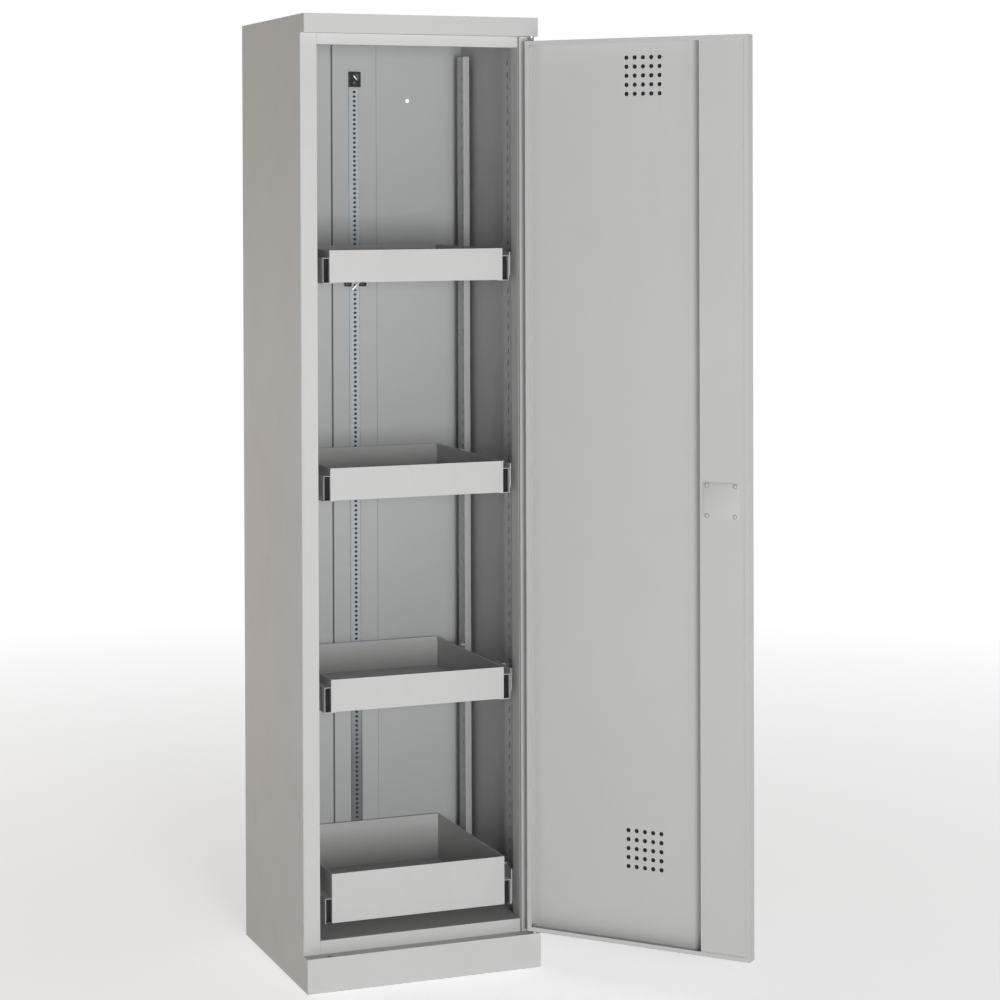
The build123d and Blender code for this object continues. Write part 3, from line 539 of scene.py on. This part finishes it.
# ---- door: gauze in the vents, cover plate and rivets of the lock, screws of the rose --------
SKIN_MIDDLE = -6.0             # Y of the door skin's middle
VENT_PITCH = 18.2
VENT_ROWS = 5
VENT_X = FREE_X + 236.0
VENT_HEIGHTS = {"top": 1827.0, "bottom": 268.0}
GAUZE_RADIUS = 4.62
GAUZE_THICK = 0.4
for place, vent_z in VENT_HEIGHTS.items():
    first = (VENT_X - 2 * VENT_PITCH, SKIN_MIDDLE, vent_z - 2 * VENT_PITCH)
    gauze = rod(f"vent_gauze_{place}", first, GAUZE_RADIUS, GAUZE_THICK, 16)
    sunk(gauze, lambda centre, normal: abs(normal.y) > FACING, 1.1, 0.08)
    row_of(gauze, VENT_ROWS, (VENT_PITCH, 0, 0))
    row_of(gauze, VENT_ROWS, (0, 0, VENT_PITCH))
    fitted(hung(gauze), "door", gauze_black)

# The lock's cover plate bulges a little between its rivets, whose heads are low domes.
PLATE_FACE = 18.7
PLATE_SHEET = 1.2
PLATE_HALF_WIDTH = 39
PLATE_HALF_HEIGHT = 35.5
plate = block(
    "lock_plate",
    (LOCK_X - PLATE_HALF_WIDTH, PLATE_FACE - PLATE_SHEET, LOCK_Z - PLATE_HALF_HEIGHT),
    (LOCK_X + PLATE_HALF_WIDTH, PLATE_FACE, LOCK_Z + PLATE_HALF_HEIGHT),
)
sunk(plate, lambda centre, normal: normal.y > FACING, 2.5, -0.4)
rounded(plate, 0.4, 3, 20.0)
fitted(hung(plate), "door", plate_paint_rivet_shadow)
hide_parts("lock_cover_plate")
HEAD_RADIUS = 3.4
HEAD_RISE = 0.44               # a head's height as a share of its radius
heads = []
for aside in (-1, 1):
    for upward in (-1, 1):
        bpy.ops.object.select_all(action="DESELECT")
        bpy.ops.mesh.primitive_uv_sphere_add(
            segments=20, ring_count=12, radius=HEAD_RADIUS * MM,
            location=(
                (LOCK_X + aside * RIVET_SPAN / 2) * MM, PLATE_FACE * MM,
                (LOCK_Z + upward * RIVET_SPAN / 2) * MM,
            ),
        )
        bpy.context.object.scale = (1.0, HEAD_RISE, 1.0)
        heads.append(settled("rivet_head"))
rivets = fitted(
    hung(joined("lock_rivet_heads", heads)), "door", finishes["rivet_grey"], 60.0
)
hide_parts("lock_rivets")

ROSE_FACE = -14.5
SCREW_OFFSET = 20.5            # from the rose's middle, up and down
SCREW_RADIUS = 3.2
SLOT_ARMS = ((1.9, 0.4), (0.4, 1.9))    # half sizes of the cross slot's two arms
screws = []
for way in (-1, 1):
    screw_z = LOCK_Z + way * SCREW_OFFSET
    screw = rod("rose_screw", (LOCK_X, ROSE_FACE - 0.6, screw_z), SCREW_RADIUS, 1.6, 20)
    rounded(screw, 0.7, 3, 60.0)
    for a, b in SLOT_ARMS:
        cut = block(
            "cross",
            (LOCK_X - a, ROSE_FACE - 3.0, screw_z - b), (LOCK_X + a, ROSE_FACE - 0.8, screw_z + b),
        )
        worked(screw, "BOOLEAN", operation="DIFFERENCE", solver="EXACT", object=cut)
        bpy.data.objects.remove(cut)
    screws.append(screw)
fitted(hung(joined("rose_screws", screws)), "door", finishes["bright_steel"])

# ---- back: the perforated rail and its clips -------------------------------------------------
RAIL_PITCH = 10.0
PUNCH_RADIUS = 2.5
PUNCH_STRETCH = (1.36, 1.0, 1.08)
rail_low, rail_high = ([v / MM for v in corner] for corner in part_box("perforated_rail"))
rail = block("rail_strip", rail_low, rail_high)
sunk(rail, front_face, 2.6, 0.7)
punch = rod("punch", (0, (rail_low[1] + rail_high[1]) / 2, 0), PUNCH_RADIUS, 8.0, 16)
alone(punch)
punch.scale = PUNCH_STRETCH
bpy.ops.object.transform_apply(location=False, rotation=False, scale=True)
rail_middle = (rail_low[2] + rail_high[2]) / 2
rail_holes = int((rail_high[2] - rail_low[2]) / RAIL_PITCH) - 1
row_of(punch, rail_holes, (0, 0, RAIL_PITCH))
moved(punch, (0, 0, rail_middle - (rail_holes - 1) / 2 * RAIL_PITCH))
worked(rail, "BOOLEAN", operation="DIFFERENCE", solver="EXACT", object=punch)
bpy.data.objects.remove(punch)
rounded(rail, 0.3, 1, 60.0)
fitted(rail, "cabinet", rail_zinc, 30.0)
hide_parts("perforated_rail")

# Painted shade: a black strip in the rail's back stands for the dark hollow of the channel, seen
# through its holes.
HOLE_SHADOW_HALF_WIDTH = 5.0
HOLE_SHADOW_MARGIN = 6
hole_shadow_strip = block(
    "rail_hole_shadow_strip",
    (-HOLE_SHADOW_HALF_WIDTH, rail_high[1] - 0.5, rail_low[2] + HOLE_SHADOW_MARGIN),
    (HOLE_SHADOW_HALF_WIDTH, rail_high[1] - 0.1, rail_high[2] - HOLE_SHADOW_MARGIN),
)
sunk(hole_shadow_strip, front_face, 0.4, 0.1)
fitted(hole_shadow_strip, "cabinet", finishes["black_plastic"])

# Two clips: one caps the rail's top, the other grips it behind tray 1 with a cheek on each side.
TOP_CLIP = 33.0                # heights of the clips
MID_CLIP = 34.0
CLIP_HALF_WIDTH = 13
MID_FACE = 214.5               # Y of the lower clip's front
CHEEK_INNER = 8.5
CHEEK_OUTER = 25
BRIDGE_HALF_WIDTH = 12
clip_low, clip_high = ([v / MM for v in corner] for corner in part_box("rail_clips"))
top_z = clip_high[2] - TOP_CLIP
top_clip = block(
    "top_clip",
    (-CLIP_HALF_WIDTH, clip_low[1], top_z), (CLIP_HALF_WIDTH, rail_high[1], clip_high[2]),
)
sunk(top_clip, front_face, 3.2, 4.2)
sunk(
    top_clip,
    lambda centre, normal: normal.z > FACING and centre.z > clip_high[2] - 0.5, 2.0, 1.5,
)
rounded(top_clip, 0.9, 3)
pawl = block("pawl", (-4.5, clip_low[1] + 1.6, top_z + 5), (8.0, clip_low[1] + 5.5, top_z + 17))
sunk(pawl, front_face, 2.2, -0.9)
rounded(pawl, 0.8, 2)
cheeks = []
for way in (-1, 1):
    left, right = sorted((way * CHEEK_INNER, way * CHEEK_OUTER))
    cheek = block(
        "cheek", (left, MID_FACE, clip_low[2]), (right, rail_low[1], clip_low[2] + MID_CLIP)
    )
    rounded(cheek, 2.4, 4)
    cheeks.append(cheek)
bridge = block(
    "bridge",
    (-BRIDGE_HALF_WIDTH, MID_FACE + 1.0, clip_low[2] + 15),
    (BRIDGE_HALF_WIDTH, rail_low[1], clip_low[2] + MID_CLIP - 2),
)
sunk(bridge, front_face, 2.5, 1.2)
rounded(bridge, 0.6, 2)
clips = fitted(
    joined("rail_clip_mouldings", [top_clip, pawl, bridge, *cheeks]),
    "cabinet", finishes["black_plastic"],
)
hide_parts("rail_clips")


LEVER_SHEET = 1.4


def lever(name, z_middle, length, width, tilt, face_y):
    """A pressed steel lever across a clip, rounded at its ends, with a raised bead."""
    low = (-length / 2, face_y, -width / 2)
    blade = block(name, low, (length / 2, face_y + LEVER_SHEET, width / 2))
    sunk(blade, front_face, width * 0.28, -0.5)
    shaping(blade, every_face)
    bpy.ops.transform.rotate(
        value=-math.radians(tilt), orient_axis="Y", orient_type="GLOBAL", center_override=(0, 0, 0)
    )
    shaped()
    rounded(blade, 0.5, 2, 30.0)
    return moved(blade, (0, 0, z_middle))


top_lever = lever("top_lever", top_z + TOP_CLIP / 2, 15.0, 3.2, 52.0, clip_low[1] + 1.6)
moved(top_lever, (2.0, 0, 3.0))
mid_lever = lever("mid_lever", clip_low[2] + 12.0, 27.0, 5.0, -48.0, MID_FACE - 0.2)
moved(mid_lever, (2.5, 0, -9.0))
levers = joined("clip_levers", [top_lever, mid_lever])
fitted(levers, "cabinet", lever_steel)

# ---- trays: plugs set back in the side profiles' front ends, their near black partly painted shade ---
TRAY_WALL = 186.0              # X of a profile's inner and outer wall
PROFILE_WALL = 198.8
PLUG_FRONT = -177.0
PLUG_DEPTH = 6
PLUG_PLAY = 0.1
# lowest and highest Z of each profile's inside
PROFILE_SPANS = {
    "tray_1": (1413.5, 1462.3),
    "tray_2": (976.0, 1024.8),
    "tray_3": (551.0, 599.8),
    "drawer_4": (126.0, 174.8),
}
# Real end plugs, whose near-black matt also stands for the shade deep inside the hollow profiles:
# partly painted shade.
for run, (z0, z1) in PROFILE_SPANS.items():
    plug = block(
        "plug",
        (TRAY_WALL + PLUG_PLAY, PLUG_FRONT, z0 + PLUG_PLAY),
        (PROFILE_WALL - PLUG_PLAY, PLUG_FRONT + PLUG_DEPTH, z1 - PLUG_PLAY),
    )
    sunk(plug, front_face, 1.4, 2.0)
    rounded(plug, 0.5, 2)
    plugs = joined(f"profile_plugs_hollow_shade_{run}", [plug, twin(plug)])
    fitted(plugs, f"{run}_moving", plug_black_hollow_shade)

# ---- slides: ball rows in their cages, and the stops behind them -----------------------------
BALL_RADIUS = 1.72
BALLS = 9                      # in a row
ROW_MARGIN = 6                 # from a cage's end to the middle of the next ball
OUTER_ROW = (206.2, 19.5)      # a row's X, and its distance above and below the slide's middle
INNER_ROW = (205.4, 14.7)
OUTER_CAGE = (42.0, 188.0)     # a cage's first and last Y
INNER_CAGE = (-95.0, 48.0)
CAGE_INWARD = 3.0
CAGE_OUTWARD = 2.6
CAGE_HALF_THICK = 0.3
STOP_LOW = (202.0, 195.3)      # X and Y of a stop's corners
STOP_HIGH = (212.6, 199.5)
STOP_HALF_HEIGHT = 9


def ball_row(x, y0, y1, z):
    """Balls held in a thin strip, along Y."""
    step = (y1 - y0 - 2 * ROW_MARGIN) / (BALLS - 1)
    bpy.ops.object.select_all(action="DESELECT")
    bpy.ops.mesh.primitive_uv_sphere_add(
        segments=12, ring_count=8, radius=BALL_RADIUS * MM,
        location=(x * MM, (y0 + ROW_MARGIN) * MM, z * MM),
    )
    ball = settled("ball")
    row_of(ball, BALLS, (0, step, 0))
    strip = block(
        "strip",
        (x - CAGE_INWARD, y0, z - CAGE_HALF_THICK), (x + CAGE_OUTWARD, y1, z + CAGE_HALF_THICK),
    )
    sunk(strip, lambda centre, normal: abs(normal.z) > FACING, 0.9, 0.08)
    return ball, strip


for run, centre_z in RUN_CENTRES.items():
    body = f"{run}_mid_members"
    balls, strips = [], []
    for (x, rise), (y0, y1) in ((OUTER_ROW, OUTER_CAGE), (INNER_ROW, INNER_CAGE)):
        for way in (-1, 1):
            ball, strip = ball_row(x, y0, y1, centre_z + way * rise)
            balls += [ball, twin(ball)]
            strips += [strip, twin(strip)]
    rows = joined(f"slide_balls_{run}", balls)
    fitted(rows, body, finishes["bright_steel"])
    cages = joined(f"ball_cages_{run}", strips)
    fitted(cages, body, finishes["galvanised_steel"])
    stop = block(
        "stop",
        (*STOP_LOW, centre_z - STOP_HALF_HEIGHT), (*STOP_HIGH, centre_z + STOP_HALF_HEIGHT),
    )
    sunk(stop, front_face, 2.2, 0.8)
    rounded(stop, 1.0, 3)
    stops = joined(f"slide_stops_{run}", [stop, twin(stop)])
    fitted(stops, "cabinet", finishes["black_plastic"])

# ---- floor, light and camera -----------------------------------------------------------------
FLOOR_SIZE = 200.0
FLOOR_FADE = (0.5, 4.2)        # distances from the cabinet between which the floor turns white
HAZE = (0.09, 0.25)            # heights of gaze between the horizon's tone and the dome's
CAMERA_PLACE = (-1.7527, -5.1391, 1.6052)
CAMERA_YAW = 0.372115          # radians, from +Y towards +X
CAMERA_PITCH = -0.013418
CAMERA_ROLL = -0.003294
FOCAL_PIXELS = 2589.97
PICTURE = 1000.0
HORIZON_ROW = 221.24           # the optical axis's row in the photograph


def stage_floor():
    """A pale studio floor that brightens into the white background away from the cabinet."""
    bpy.ops.object.select_all(action="DESELECT")
    bpy.ops.mesh.primitive_plane_add(size=FLOOR_SIZE, location=(0, 0, 0))
    floor = settled("studio_floor")
    cover = Finish("pale_floor")
    reach = cover.node("ShaderNodeVectorMath", {"operation": "LENGTH"}, cover.place, out="Value")
    away = cover.spread(reach, *FLOOR_FADE)
    tone = cover.noise(3.0, detail=4.0)
    floor.data.materials.append(
        cover.set(
            Base_Color=cover.mixed(away, cover.mixed(tone, grey(0.78), grey(0.82)), grey(0.0)),
            Emission_Color=cover.mixed(away, grey(0.6), grey(1.0)),
            Emission_Strength=1.0,
            Roughness=0.9,
            Specular_IOR_Level=0.0,
        )
    )


def soft_box(name, where, towards, size, power, colour=(1.0, 1.0, 1.0)):
    """A flat lamp that looks towards a place, in metres and watts."""
    light = bpy.data.lights.new(name, "AREA")
    light.shape = "RECTANGLE"
    light.size, light.size_y = size
    light.energy = power
    light.color = colour
    lamp = bpy.data.objects.new(name, light)
    bpy.context.scene.collection.objects.link(lamp)
    lamp.location = where
    lamp.rotation_euler = (Vector(towards) - Vector(where)).to_track_quat("-Z", "Y").to_euler()


def pale_world(dome, horizon, share):
    """White round the horizon, greyer overhead; only a share of what the lens sees gives light."""
    world = bpy.data.worlds.new("pale_studio")
    bpy.context.scene.world = world
    world.use_nodes = True
    tree = world.node_tree
    place = tree.nodes.new("ShaderNodeTexCoord")
    split = tree.nodes.new("ShaderNodeSeparateXYZ")
    height = tree.nodes.new("ShaderNodeMapRange")
    for socket, value in zip(height.inputs[1:5], (*HAZE, horizon, dome)):
        socket.default_value = value
    tree.links.new(place.outputs["Generated"], split.inputs[0])
    tree.links.new(split.outputs["Z"], height.inputs[0])
    path = tree.nodes.new("ShaderNodeLightPath")
    given = tree.nodes.new("ShaderNodeMapRange")
    given.inputs["To Min"].default_value = share
    strength = tree.nodes.new("ShaderNodeMath")
    strength.operation = "MULTIPLY"
    tree.links.new(path.outputs["Is Camera Ray"], given.inputs["Value"])
    tree.links.new(given.outputs[0], strength.inputs[0])
    tree.links.new(height.outputs[0], strength.inputs[1])
    tree.links.new(strength.outputs[0], tree.nodes["Background"].inputs["Strength"])
    tree.nodes["Background"].inputs["Color"].default_value = (1.0, 1.0, 1.0, 1.0)


def photograph_camera():
    """The camera solved from the cabinet's straight edges in the photograph."""
    data = bpy.data.cameras.new("photograph_camera")
    camera = bpy.data.objects.new("photograph_camera", data)
    bpy.context.scene.collection.objects.link(camera)
    level = Vector((math.sin(CAMERA_YAW), math.cos(CAMERA_YAW), 0.0))
    side = Vector((math.cos(CAMERA_YAW), -math.sin(CAMERA_YAW), 0.0))
    top = Vector((0.0, 0.0, 1.0))
    forward = level * math.cos(CAMERA_PITCH) + top * math.sin(CAMERA_PITCH)
    upward = top * math.cos(CAMERA_PITCH) - level * math.sin(CAMERA_PITCH)
    right = side * math.cos(CAMERA_ROLL) + upward * math.sin(CAMERA_ROLL)
    above = upward * math.cos(CAMERA_ROLL) - side * math.sin(CAMERA_ROLL)
    turned = Matrix((right, above, -forward)).transposed().to_4x4()
    camera.matrix_world = Matrix.Translation(CAMERA_PLACE) @ turned
    data.sensor_width = 36.0
    data.lens = FOCAL_PIXELS * data.sensor_width / PICTURE
    data.shift_y = (HORIZON_ROW - PICTURE / 2) / PICTURE
    data.clip_end = 300.0
    bpy.context.scene.camera = camera


stage_floor()
pale_world(dome=0.10, horizon=1.0, share=0.3)
soft_box(
    "key_light", where=(-0.5, -6.2, 1.2), towards=(0.1, 0.0, 0.9), size=(1.6, 1.6), power=226.0
)
soft_box(
    "side_fill", where=(-3.6, 2.2, 1.3), towards=(-0.25, 0.1, 1.0), size=(1.6, 2.0), power=18.0,
    colour=(1.0, 0.70, 0.36),
)
photograph_camera()
bpy.context.scene.view_settings.view_transform = "Standard"
